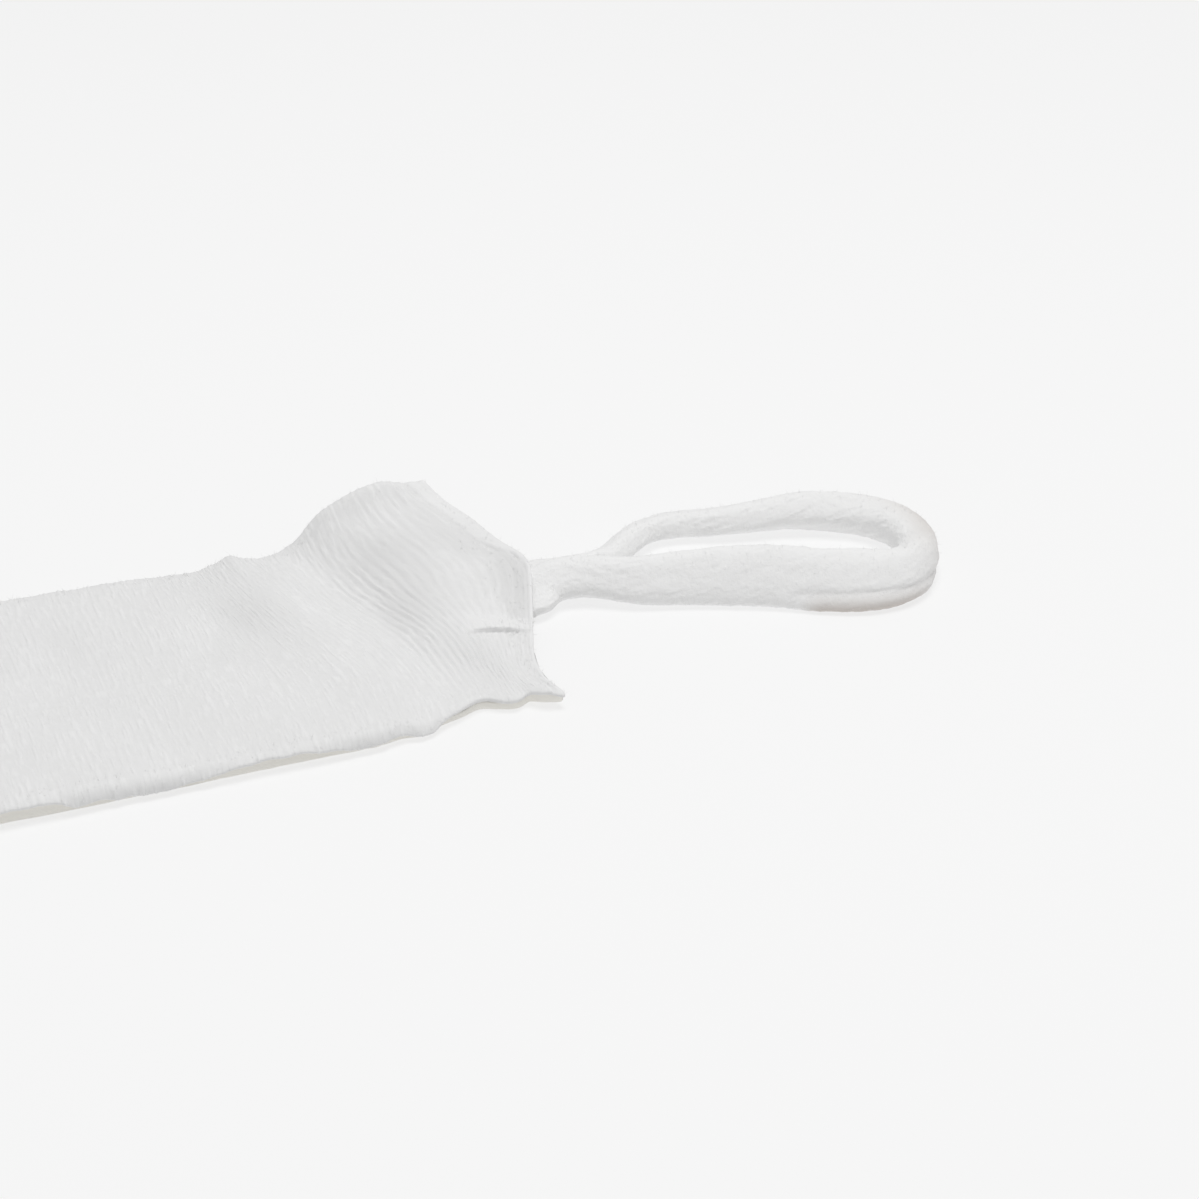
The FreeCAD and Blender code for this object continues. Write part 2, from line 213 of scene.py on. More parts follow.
def folds(u, y):
    # The hump, the valley and the ridge across the strip, smaller waves near its edges and slow
    # unevenness, each a height by bells or steps along u and across y, all added.
    inner = smooth(-56, -24, y) * (1 - 0.65 * smooth(28, 56, y))
    hump = strip["humpHigh"] * bump(strip["humpAt"], 11, u) * inner
    valley = -strip["valleyDeep"] * bump(strip["valleyAt"], 6.5, u) * smooth(-56, -38, y)
    valley = valley * (1 - 0.5 * smooth(34, 56, y))
    crest = strip["crestAt"] + strip["crestSlant"] * y
    ridge = strip["ridgeHigh"] * smooth(crest - 14, crest, u) * (1 - smooth(crest + 2, crest + 17, u))
    ridge = ridge * smooth(-34, 0, y) * (1 - smooth(26, 50, y))
    prop = strip["propHigh"] * smooth(152, 161, u) * bump(8, 13, y)
    nearFold = 0.9 * bump(150, 8, u) * bump(-39, 8, y) - 0.5 * bump(142, 5, u) * bump(-36, 12, y)
    farWave = through([(40, 0.3), (66, -0.9), (84, -1.2), (95, 0.5), (100.5, 1.6), (104, 0.2),
                       (110, -0.9), (118, 0)], u) * smooth(34, 54, y)
    quiet = 0.50 * cloudy(u, y * 0.6, 38, 11) + 0.28 * cloudy(u, y, 19, 12)
    crown = strip["crown"] * (1 - (y / strip["half"]) ** 2)
    return hump + valley + ridge + prop + nearFold + farWave + quiet + crown


def topHeight(u, y):
    # Height of the middle of the cover: the core's top, plus flare and folds, less a sinking near side.
    sink = strip["limpSink"] * smooth(112, 136, u) * smooth(-12, -34, y)
    sink = sink + 2.0 * bump(114, 8, u) * smooth(-38, -57, y)
    corner = (2.1 * smooth(147, 157, u) - 1.3 * smooth(158, 163, u)) * smooth(-41, -56, y)
    return strip["top"] - 0.75 + flareHeight(u, y) + folds(u, y) - sink + corner


# knit cover
knit = {
    "thick": 1.35,
    "ribPitch": 2.15,
    "ribHigh": 0.27,                      # where the cloth bunches
    "ribDeeper": 0.27,                    # more of it on the ridge
    "slubHigh": 0.20,
    "edgeRadius": 2.3,
    "hang": 1.2,                          # straight part below the turned edge
    "hemWide": 5.6,
    "lipWide": 1.3,                       # the hem's width on the near side
    "furrowDeep": 1.3,
    "tuckHigh": 1.2,
    "tuckOver": 0.95,                     # how far the tuck's lip leans over the cloth before it
    "rings": 1120,
    "under": 7,                           # points along the inner face
    "flatSize": (0.0625, 0.330),          # of one half, in metres
}


def foldedSheet(u, flat, radius, turn, wall, thick, across, under, extra=None):
    # Rings of a sheet's section.  Its middle line runs flat, turns down round the edge by an angle, then
    # goes straight for the wall's length; each ring goes out along the outer face and back along the inner.
    flat, turn, wall = [np.broadcast_to(v, u.shape)[:, None] for v in (flat, turn, wall)]
    length = flat + radius * turn + wall
    spread = np.linspace(0, 1, across)[None, :]
    outerS = spread * length
    if extra is not None:                 # closer samples where a tuck needs them
        outerS = np.sort(np.concatenate([outerS, extra[None, :] + 0 * length], 1), 1)
    innerS = np.linspace(1, 0, under)[None, :] * length
    ends = np.minimum(u - u[0], u[-1] - u)
    half = thick / 2 * np.sqrt(np.clip(1 - (1 - np.clip(ends / 0.8, 0, 1)) ** 2, 0.002, 1))[:, None]
    nose = np.linspace(0, np.pi, 7)[None, 1:-1]
    s = np.concatenate([outerS, length + 0 * nose, innerS], 1)
    angle = np.clip((s - flat) / radius, 0, turn)
    beyond = np.clip(s - flat - radius * turn, 0, None)
    y = np.minimum(s, flat) + radius * np.sin(angle) + beyond * np.cos(angle)
    z = -radius * (1 - np.cos(angle)) - beyond * np.sin(angle)
    lean = angle + np.concatenate([0 * outerS, 0 * length + nose, 0 * innerS + np.pi], 1)
    out, up = np.sin(lean), np.cos(lean)
    face = np.concatenate([1 + 0 * outerS, np.cos(nose / 2) + 0 * length, 0 * innerS], 1)
    return y + half * out, z + half * up, s, out, up, face


def edgeTurn(u, side):
    # How far the edge turns down, in radians: slow waves towards the toe, which pass into a curve through
    # given places on the pull end's half, plus a little noise.
    if side < 0:
        drawn = through([(-46, 1.5), (-26, 1.5), (-16, 0.8), (-8, 0.30), (2, 0.45), (9, 1.45), (16, 1.2),
                         (22, 1.55), (38, 1.5), (46, 0.85), (54, 0.65), (63, 0.28), (72, 0.35), (84, 0.80),
                         (92, 1.2), (100, 1.1), (108, 1.2), (114, 0.8), (122, 0.4), (136, 0.15),
                         (163, 0.10)], u)
    else:
        drawn = through([(-46, 1.2), (20, 1.3), (60, 0.9), (84, 1.2), (100, 0.5), (112, 0.9), (124, 0.3),
                         (163, 0.1)], u)
    waves = 1.0 + 0.75 * np.sin(2 * np.pi * u / 47 + 3 * cloudy(u, 0 * u, 60, 21 + side))
    share = smooth(-60, -42, u)
    small = 0.22 * cloudy(u, 0 * u, 5, 23 + side)
    return np.clip(drawn * share + waves * (1 - share) + small, 0.05, 1.6)


def ribs(u, s):
    # Ridges across the strip: a cosine of the way along it at ribPitch, wandering by noise, by a height
    # that is clear where the cloth bunches and broken up elsewhere.
    wander = 0.9 * cloudy(u, s, 24, 31) + 0.30 * cloudy(u, s, 8, 32)
    phase = (u + wander) / knit["ribPitch"]
    wave = 0.5 + 0.5 * np.cos(2 * np.pi * phase)
    bunched = smooth(104, 118, u) * smooth(-62, -34, s) * (1 - 0.35 * smooth(150, 160, u))
    bunched = bunched * (1 - 0.60 * smooth(24, 44, s) * (1 - smooth(140, 150, u)))
    patch = smooth(-0.3, 0.5, cloudy(u, s, 13, 33))
    broken = 0.50 + 0.50 * cloudy3(np.round(phase) * 1.7, s / 3.6, 0 * s, 34)
    deep = bump(136, 10, u) * smooth(-48, -20, s) * (1 - smooth(24, 42, s))
    clear = knit["ribHigh"] + 0.14 * cloudy(u, s, 7, 37) + knit["ribDeeper"] * deep
    high = (0.03 + 0.19 * patch) * (1 - bunched) + clear * bunched
    return high * (broken * (1 - 0.15 * bunched) + 0.15 * bunched) * (wave ** 0.8 - 0.55)


def slubs(u, s):                          # short raised dashes along the ribs: stretched noise, stepped
    dash = smooth(0.22, 0.70, cloudy3(u / 0.62, s / 4.6, 0 * u, 38))
    second = smooth(0.25, 0.75, cloudy3(u / 0.60, s / 2.2, 0 * u, 39))
    return knit["slubHigh"] * dash + 0.12 * second + 0.06 * cloudy(u, s, 1.0, 40)


def paintedShadeMap(u, s):
    # How much painted shade grays the cloth, 0 to 1: a sum of bells, more on rising slopes and in shallow
    # hollows, less at painted lighter spots.
    middle = through([(-20, 129), (0, 134.5), (20, 139.5), (35, 141), (50, 137)], s)
    slope = 0.60 * bump(middle, 8.5, u) * smooth(-16, 6, s) * (1 - 0.75 * smooth(32, 50, s))
    end = 0.25 * bump(156, 5, u) * smooth(-2, 8, s) * (1 - smooth(30, 44, s))
    end = end + 0.30 * bump(152.5, 3.5, u) * smooth(16, 28, s) * (1 - smooth(48, 57, s))
    far = 0.40 * bump(86, 11, u) * bump(22, 24, s) + 0.22 * bump(26, 8, u) * bump(20, 18, s)
    near = 0.22 * bump(141, 6, u) * bump(-30, 12, s) + 0.18 * bump(134, 5, u) * bump(-22, 12, s)
    light = 0.20 * bump(110, 6, u) * bump(12, 16, s) + 0.15 * bump(60, 7, u) * bump(14, 18, s)
    return np.clip(0.18 + slope + end + far + near - light + 0.10 * cloudy(u, s, 17, 35), 0, 1)


def coverHalf(name, side):
    # One half of the knit cover: the folded sheet's section carried along u, moved out along its own
    # normal by ribs, slubs, hem and tuck, then shifted and lifted by the strip's own shape.
    ends = np.array([0, 0.05, 0.15, 0.3, 0.55])
    u = np.linspace(strip["toe"] + 0.8, strip["end"] - 0.8, knit["rings"])
    u = np.concatenate([strip["toe"] + ends, u, strip["end"] - ends[::-1]])
    ragged = 0.30 * cloudy(u, 0 * u, 6.5, 24 + side) + 0.18 * cloudy(u, 0 * u, 2.2, 27 + side)
    radius = knit["edgeRadius"]
    extra = np.linspace(12.6, 20.4, 15) if side < 0 else None
    turn, hang = edgeTurn(u, side), knit["hang"]
    flat = halfWidth(u) + ragged - 0.6 - radius * np.sin(turn) - hang * np.cos(turn)
    across = 60 if side < 0 else 66       # the near half has closer samples at its tuck besides
    y, z, s, out, up, face = foldedSheet(u, flat, radius, turn, hang, knit["thick"], across, knit["under"],
                                         extra)
    uu = u[:, None] + 0 * y
    rings, around = y.shape
    caps = zipped(s[0], around - knit["under"]), zipped(s[-1], around - knit["under"])
    s = side * s
    relief = ribs(uu, s) + slubs(uu, s)

    # rolled hem: a thin lip at the very end, a band with a stitched step on the far side
    fromEnd = strip["end"] - uu
    wide = knit["lipWide"] + (knit["hemWide"] - knit["lipWide"]) * smooth(12, 32, s)
    hem = smooth(wide + 0.5, wide - 0.5, fromEnd)
    step = 0.16 * bump(wide + 0.5, 0.6, fromEnd)
    relief = relief * (1 - 0.4 * hem) + hem * (0.22 + 0.28 * smooth(-8, 20, s)) - step

    furrow = -knit["furrowDeep"] * bump(5.0, 2.6, fromEnd) * bump(2, 14, s)
    relief = relief + furrow

    # the tuck: cloth beyond this line bulges over the cloth before it
    beyond = s - through([(138, -17.5), (143, -16.0), (148, -15.6), (156, -17.4), (163, -19.5)], uu)
    strong = smooth(138, 149, uu) * (1 - 0.75 * smooth(154, 162, uu)) * (1 - smooth(20, 24, np.abs(s)))
    lip = smooth(-0.25, 0.55, beyond) * np.exp(-np.clip(beyond / 6.0, 0, None) ** 2)
    relief = relief + strong * (knit["tuckHigh"] * lip - 0.6 * bump(-0.5, 0.6, beyond))
    overhang = -knit["tuckOver"] * strong * bump(0.8, 0.9, beyond) * face

    relief = relief * face
    toeDrop = 2.6 * (1 - np.sqrt(1 - (1 - np.clip((uu - strip["toe"]) / 5, 0, 1)) ** 2))
    points = np.stack([uu + alongShift(uu, side * y),
                       side * (y + relief * out) + overhang + acrossShift(uu, side * y),
                       z + relief * up + topHeight(uu, side * y) - toeDrop], -1)
    points[..., 2] = np.maximum(points[..., 2], 1.1)      # stays above the lining
    middle = middleLine(rings, around)
    piece = makeMesh(name, points.reshape(-1, 3), ringFaces(rings, around, side > 0, caps), sharp=middle)
    paint(piece, "along", uu)
    paint(piece, "across", s)
    paint(piece, "relief", relief)
    # painted shade, for the material to read
    paint(piece, "paintedShade", paintedShadeMap(uu, s))
    return piece


coverLeft = coverHalf("knitCoverLeft", 1)
coverRight = coverHalf("knitCoverRight", -1)
print("cover made:", len(coverLeft.data.polygons), "and", len(coverRight.data.polygons), "faces")


# padded core and lining
core = {
    "bottom": 0.95,
    "top": 5.6,
    "inset": 3.0,
    "round": 1.2,
    "nearTaper": 13,                      # how far the limp end's edge draws in
    "farTaper": 4,
    "rings": 240,
    "fill": 0.7,
}
lining = {
    "thick": 0.8,
    "inset": 2.3,
    "edgeRadius": 1.5,
    "wall": 3.7,                          # how far it is turned up round the core's side
    "rings": 420,
    "across": 44,                         # points along the outer face
    "under": 30,
    "flatSize": (0.0565, 0.326),          # of one half, in metres
}


def coreHalf(name, side):
    # A closed half slab: rounded rings carried along the strip, its limp end tapered away from the edge.
    low, high, rounding = core["bottom"], core["top"], core["round"]
    start, stop = strip["toe"] + 2.0, strip["coreEnd"]
    u = np.linspace(start, stop, core["rings"])
    if side < 0:
        taper = core["nearTaper"] * smooth(92, stop + 6, u)
    else:
        taper = core["farTaper"] * smooth(100, stop + 6, u)
    out = (halfWidth(u) - core["inset"] - taper - rounding)[:, None]
    fade = np.minimum(u - start, stop - u)
    shrink = np.sqrt(np.clip(1 - (1 - np.clip(fade / rounding, 0, 1)) ** 2, 0.01, 1))[:, None]
    half = (high - low) / 2 * shrink
    corner = np.linspace(0, np.pi / 2, 7)[None, :]
    flat = np.linspace(0, 1, 34)[None, :-1] * out
    edgeY = out + rounding * np.sin(corner)
    edgeZ = half - np.minimum(rounding, half) * (1 - np.cos(corner))
    y = np.concatenate([flat, edgeY, edgeY[:, ::-1], flat[:, ::-1]], 1)
    z = np.concatenate([half + 0 * flat, edgeZ, -edgeZ[:, ::-1], -half + 0 * flat], 1) + (low + high) / 2
    uu = u[:, None] + 0 * y
    z = z + 0.2 * cloudy(uu, side * y, 30, 42) * smooth(1.0, 5.0, z)
    rings, around = y.shape
    middle = middleLine(rings, around)
    points = np.stack([uu, side * y, z], -1)
    return makeMesh(name, points.reshape(-1, 3), ringFaces(rings, around, side > 0), middle)


def liningHalf(name, side):
    # One half of the lining: the folded sheet's section carried along u upside down, flat on the surface
    # and turned up round the core's side, with the limp end shifted as the cover is.
    ends = np.array([0, 0.2, 0.5])
    start, stop = strip["toe"] + 1.2, strip["end"] - 0.4
    u = np.concatenate([start + ends, np.linspace(start + 0.8, start + 6, 8),
                        np.linspace(start + 6.8, stop - 0.8, lining["rings"]), stop - ends[::-1]])
    limp = smooth(112, 128, u)
    radius = lining["edgeRadius"]
    swell = 0.35 * cloudy(u, 0 * u, 12, 44 + side) + 0.12 * cloudy(u, 0 * u, 3, 46 + side)
    turn = (1.50 - 0.25 * limp) if side < 0 else 1.5 * (1 - limp)
    if side < 0:
        wall = through([(92, lining["wall"]), (104, 0.9), (118, 0.7), (130, 1.3), (140, 1.3), (147, 1.7),
                        (156, 2.6), (163, 1.6)], u)
    else:
        wall = (lining["wall"] - 0.8) * (1 - limp)
    flat = halfWidth(u) - lining["inset"] + 1.1 * limp - radius + swell
    y, z, s = foldedSheet(u, flat, radius, turn, wall, lining["thick"], lining["across"], lining["under"])[:3]
    uu = u[:, None] + 0 * y
    grow = smooth(118, 150, uu)
    toeRise = 3.6 * (1 - smooth(0, 2.2, uu - start)) * smooth(1, 6, halfWidth(u)[:, None] - y)
    nearRise = (0.3 * grow + 1.2 * smooth(147, 156, uu)) * smooth(-42, -56, side * y)
    points = np.stack([uu + alongShift(uu, side * y) * smooth(118, 160, uu),
                       side * y + acrossShift(uu, side * y * 1.01),
                       0.45 - z + toeRise + nearRise + 0.10 * cloudy(uu, side * y, 9, 43) * grow], -1)
    points[..., 2] = np.maximum(points[..., 2], 0.05)
    rings, around = y.shape
    middle = middleLine(rings, around)
    caps = zipped(s[0], around - lining["under"]), zipped(s[-1], around - lining["under"])
    return makeMesh(name, points.reshape(-1, 3), ringFaces(rings, around, side < 0, caps), sharp=middle)


coreLeft = coreHalf("paddedCoreLeft", 1)
coreRight = coreHalf("paddedCoreRight", -1)
liningLeft = liningHalf("liningSheetLeft", 1)
liningRight = liningHalf("liningSheetRight", -1)
print("core and lining made")


# pull cord
cord = {
    # x, y, height, width and thickness of the flattened section, and its lean in degrees
    "route": [(160.5, 1.0, 3.7, 13.8, 4.4, 0), (166, 2.0, 5.0, 15.6, 6.4, 8),
              (173, 5.8, 8.0, 13.5, 8.0, 40), (184, 3.6, 8.8, 13, 8.5, 52),
              (192, -0.4, 8.3, 13.5, 8.5, 56), (200, -4.5, 8.0, 15, 8.5, 58),
              (212, -7.8, 8.4, 17.5, 8.5, 60), (226, -12.4, 8.7, 18.6, 8.5, 60),
              (242, -19.2, 8.7, 19.5, 8.5, 60), (256, -26.6, 8.6, 18.8, 9, 56),
              (269, -30.8, 8.4, 18.2, 10, 52), (280, -30.6, 7.4, 16.3, 11.5, 58),
              (288.5, -23.5, 7.0, 14.5, 12.5, 75), (293.5, -11.5, 7.0, 13.5, 13, 88),
              (292.8, 0.5, 6.9, 13, 13, 88), (287.0, 10.0, 6.8, 12.5, 12.5, 72),
              (276.5, 17.0, 7.0, 12.5, 12.5, 55), (264, 22.0, 7.2, 12, 11.5, 45),
              (250, 23.6, 6.6, 10.8, 10, 30), (237, 26.5, 5.6, 9.6, 8.8, 20),
              (225.5, 30.5, 5.2, 9.2, 8.4, 15), (214.5, 29.6, 5.4, 8.8, 8.2, 20),
              (205.5, 22.6, 6.0, 8.6, 8.2, 25), (198.5, 15.4, 6.8, 9.0, 8.2, 36),
              (190, 11.6, 7.1, 10.5, 7.8, 42), (178, 12.9, 7.4, 11.8, 7.4, 30),
              (168, 14.6, 7.2, 12.2, 6.8, 12), (160.5, 13.6, 3.9, 11.4, 3.6, 0)],
    "steps": 860,
    "around": 108,
    "yarnTurn": 150.0,                    # one turn of the yarns in this many mm
    "squareness": 0.76,                   # 1 is an ellipse, less is fuller at its corners
    "underLobe": 1.3,
    "yarnHigh": 0.13,
    "lumpHigh": 0.11,
    "fuzzHigh": 0.10,
    "length": 0.300,                      # of the free cord, in metres
    "diameter": 0.014,
}


def splinePoints(route, perSpan):         # points of the quadratic B-spline that the stops control, in mm
    curve = bpy.data.curves.new("cordRoute", "CURVE")
    curve.dimensions = "3D"
    curve.resolution_u = perSpan
    line = curve.splines.new("NURBS")
    line.points.add(len(route) - 1)
    for point, place in zip(line.points, route):
        point.co = (place[0] * mm, place[1] * mm, place[2] * mm, 1)
    line.order_u = 3
    line.use_endpoint_u = True
    carrier = bpy.data.objects.new("cordRoute", curve)
    mesh = bpy.data.meshes.new_from_object(carrier)
    points = np.zeros(len(mesh.vertices) * 3)
    mesh.vertices.foreach_get("co", points)
    bpy.data.objects.remove(carrier)
    bpy.data.curves.remove(curve)
    bpy.data.meshes.remove(mesh)
    return points.reshape(-1, 3) / mm


def evenly(points, count):                # the same line, at evenly spaced points
    gone = np.concatenate([[0], np.cumsum(np.linalg.norm(np.diff(points, axis=0), axis=1))])
    at = np.linspace(0, gone[-1], count)
    return np.stack([np.interp(at, gone, points[:, k]) for k in range(3)], 1), at


def softly(values, passes):               # each inner value becomes (before + 2 itself + after) / 4
    for _ in range(passes):
        values[1:-1] = (values[:-2] + 2 * values[1:-1] + values[2:]) / 4
    return values


def makeCord():
    # A soft tube of changing flattened section along the route: cosine and sine to a power, by half the
    # width and half the thickness, leaned over.  Its yarns are streaks of noise, stretched along the cord
    # and wound round it once in every yarnTurn.
    route = np.array(cord["route"], float)
    line, at = evenly(splinePoints(route[:, :3], 60), cord["steps"])
    line = softly(line, 6)
    nearest = np.array([np.argmin(((line - stop) ** 2).sum(1)) for stop in route[:, :3]])
    nearest[0], nearest[-1] = 0, len(line) - 1
    wide, deep, lean = [softly(np.interp(at, at[nearest], route[:, k]), 30)[:, None] for k in (3, 4, 5)]
    tangent = np.gradient(line, axis=0)
    tangent /= np.linalg.norm(tangent, axis=1)[:, None]
    across = np.cross([0.0, 0.0, 1.0], tangent)
    across /= np.linalg.norm(across, axis=1)[:, None]
    above = np.cross(tangent, across)
    turn = np.linspace(0, 2 * np.pi, cord["around"], endpoint=False)[None, :]
    t = at[:, None]
    uneven = 1 + 0.03 * cloudy(t, 0 * t, 14, 50)
    a = np.sign(np.cos(turn)) * np.abs(np.cos(turn)) ** cord["squareness"] * wide / 2 * uneven
    b = np.sign(np.sin(turn)) * np.abs(np.sin(turn)) ** cord["squareness"] * deep / 2 * uneven
    wind = 2 * np.pi * t / cord["yarnTurn"]
    p, q = a * np.cos(wind) - b * np.sin(wind), a * np.sin(wind) + b * np.cos(wind)
    slant = t + 1.1 * p + 0.7 * q
    yarn = 1 - 2.0 * np.abs(cloudy3(slant / 6.0, p / 1.5, q / 1.5, 51))
    small = cloudy3(slant / 2.6, p / 0.8, q / 0.8, 52)
    lump = cloudy3(slant / 9.0, p / 4.0, q / 4.0, 53)
    fuzz = cloudy3(t / 0.8, p / 0.7, q / 0.7, 54)
    relief = cord["yarnHigh"] * (yarn - 0.4) + 0.10 * small + cord["lumpHigh"] * lump
    relief = relief + cord["fuzzHigh"] * fuzz
    under = np.angle(np.exp(1j * (turn - 2.95)))          # angle from the section's outer lower corner
    low = smooth(84, 100, t) * (1 - smooth(134, 152, t))
    grown = relief + low * (cord["underLobe"] * bump(0, 0.5, under) - 0.8 * bump(-0.8, 0.2, under))
    size = np.sqrt(a * a + b * b)
    a, b = a * (1 + grown / size), b * (1 + grown / size)
    tilt = np.radians(lean)
    side, rise = a * np.cos(tilt) - b * np.sin(tilt), a * np.sin(tilt) + b * np.cos(tilt)
    points = line[:, None, :] + side[..., None] * across[:, None, :] + rise[..., None] * above[:, None, :]
    points[..., 2] += np.maximum(0.15 - points[..., 2].min(1), 0)[:, None]    # it lies on the surface
    piece = makeMesh("pullCord", points.reshape(-1, 3), ringFaces(len(line), cord["around"], False))
    paint(piece, "relief", relief)
    # painted shade: darker under the lobe's lower outer corner and on the outside of the bend
    below = 0.85 * smooth(93, 101, t) * (1 - smooth(122, 140, t)) * bump(-0.05, 0.5, under)
    outside = 0.50 * bump(153, 15, t) * smooth(-0.6, 0.6, np.sin(turn))
    paint(piece, "shade", np.clip(below + outside, 0, 1))
    return piece, points.mean(1)


pullCord, cordPath = makeCord()
cordLong = np.linalg.norm(np.diff(cordPath, axis=0), axis=1).sum()
print("cord made:", round(cordLong, 1), "mm")


# loose fibres
fibre = {
    "thick": 0.055,
    "onCord": 1000,
    "cordLongest": 1.7,
    "onEdge": 700,
    "edgeLongest": 1.6,
}


def fluff(name, source, chosen, count, longest, seed):
    # Short curved fibres with a three-sided section, standing on chosen points of a finished piece: root
    # plus lean by the way along, plus curl by its square.
    rng = np.random.RandomState(seed)
    total = len(source.data.vertices)
    co, normal = np.zeros(total * 3), np.zeros(total * 3)
    source.data.vertices.foreach_get("co", co)
    source.data.vertices.foreach_get("normal", normal)
    co, normal = co.reshape(-1, 3) / mm, normal.reshape(-1, 3)
    at = rng.choice(np.flatnonzero(chosen(co, normal)), count)
    root, out = co[at], normal[at]
    lean = out * 0.55 + rng.normal(0, 0.55, (count, 3))
    lean[:, 2] = np.maximum(lean[:, 2], -0.1)
    lean /= np.linalg.norm(lean, axis=1)[:, None]
    curl = rng.normal(0, 0.35, (count, 3))
    curl[:, 2] = np.abs(curl[:, 2])
    long = longest * rng.uniform(0.35, 1, count)[:, None]
    first = np.cross(lean, [0.31, 0.57, 0.76])
    first /= np.linalg.norm(first, axis=1)[:, None]
    second = np.cross(lean, first)
    rings = []
    for step in range(3):
        part = step / 3
        middle = root - 0.08 * out + lean * long * part + curl * long * part ** 2
        for corner in range(3):
            turn = 2 * np.pi * corner / 3
            thin = fibre["thick"] * (1 - part * 0.7)
            rings.append(middle + thin * (first * np.cos(turn) + second * np.sin(turn)))
    rings.append(root + lean * long + curl * long)
    points = np.stack(rings, 1)
    start = (np.arange(count) * 10)[:, None]
    quads = [start + [3 * k + j, 3 * k + (j + 1) % 3, 3 * k + 3 + (j + 1) % 3, 3 * k + 3 + j]
             for k in range(2) for j in range(3)]
    tips = [start + [6 + j, 6 + (j + 1) % 3, 9] for j in range(3)] + [start + [2, 1, 0]]
    return makeMesh(name, points.reshape(-1, 3), [np.concatenate(quads), np.concatenate(tips)])


def byEdge(co, normal):                   # along the long edges and the pull end, not underneath
    return ((np.abs(co[:, 1]) > 52) | (co[:, 0] > 150)) & (normal[:, 2] > -0.2) & (np.abs(co[:, 1]) > 0.5)


def onLoop(co, normal):                   # past the cord's exit, not underneath
    return (co[:, 0] > 170) & (normal[:, 2] > -0.4)


cordFluff = fluff("cordFluff", pullCord, onLoop, fibre["onCord"], fibre["cordLongest"], 61)
edgeFluffLeft = fluff("edgeFluffLeft", coverLeft, byEdge, fibre["onEdge"], fibre["edgeLongest"], 62)
edgeFluffRight = fluff("edgeFluffRight", coverRight, byEdge, fibre["onEdge"], fibre["edgeLongest"], 63)
print("fibres made")


# materials
class Wire:                               # one socket, with arithmetic that adds Math nodes
    def __init__(self, shader, socket):
        self.shader, self.socket = shader, socket

    def math(self, operation, other):
        return self.shader.node("ShaderNodeMath", {"operation": operation}, [self, other])

    def __add__(self, other):
        return self.math("ADD", other)

    def __mul__(self, other):
        return self.math("MULTIPLY", other)

    __radd__ = __add__                    # the order makes no difference to either
    __rmul__ = __mul__


class Shader:                             # a material's node tree and its one Principled shader
    def __init__(self, name):
        self.material = bpy.data.materials.new(name)
        self.material.use_nodes = True
        self.tree = self.material.node_tree
        self.tree.nodes.clear()
        self.body = self.tree.nodes.new("ShaderNodeBsdfPrincipled")
        output = self.tree.nodes.new("ShaderNodeOutputMaterial")
        self.tree.links.new(self.body.outputs[0], output.inputs[0])

    def node(self, kind, settings, inputs, output=0):     # any node: its type, settings and sockets
        made = self.tree.nodes.new(kind)
        for key, value in settings.items():
            setattr(made, key, value)
        pairs = inputs.items() if isinstance(inputs, dict) else enumerate(inputs)
        for key, value in pairs:
            self.feed(made.inputs[key], value)
        return Wire(self, made.outputs[output])

    def feed(self, socket, value):
        if isinstance(value, Wire):
            self.tree.links.new(value.socket, socket)
        else:
            socket.default_value = value

    def attribute(self, name):
        return self.node("ShaderNodeAttribute", {"attribute_name": name}, {}, "Fac")

    def place(self):
        return self.node("ShaderNodeTexCoord", {}, {}, "Object")

    def noise(self, vector, scale, detail, rough):
        sockets = {"Vector": vector, "Scale": scale, "Detail": detail, "Roughness": rough}
        return self.node("ShaderNodeTexNoise", {}, sockets)

    def point(self, x, y, z):
        return self.node("ShaderNodeCombineXYZ", {}, [x, y, z])

    def mixed(self, share, first, second):                # a colour from first to second by the share
        return self.node("ShaderNodeMix", {"data_type": "RGBA"}, {0: share, 6: first, 7: second}, 2)

    def bumped(self, height, strength, distance):
        sockets = {"Strength": strength, "Distance": distance, "Height": height}
        return self.node("ShaderNodeBump", {}, sockets)

    def finish(self, **inputs):
        for key, value in inputs.items():
            self.feed(self.body.inputs[key.replace("_", " ")], value)
        return self.material


def gray(value, warm=0.0):                # green is less by 0.35 warm, blue by warm
    return (value, value * (1 - 0.35 * warm), value * (1 - warm), 1)


tones = {
    "knitGrooveShade": gray(0.70, 0.004),
    "knitRaised": gray(0.85, 0.001),
    "knitYarn": gray(0.86, 0.0),
    "knitBroad": gray(0.765, 0.010),
    "knitPaintedShade": gray(0.70, 0.004),
    "liningDark": (0.79, 0.77, 0.715, 1),
    "liningLight": (0.85, 0.835, 0.79, 1),
    "cordGrooveShade": gray(0.83, 0.006),
    "cordRaised": gray(0.89, 0.003),
    "cordBrushed": gray(0.88, 0.0),
    "cordShade": (0.58, 0.53, 0.49, 1),
    "looseFibre": gray(0.88),
    "plastic": gray(0.80, 0.01),
    "tape": gray(0.78, 0.03),
    "thread": gray(0.85, 0.02),
}


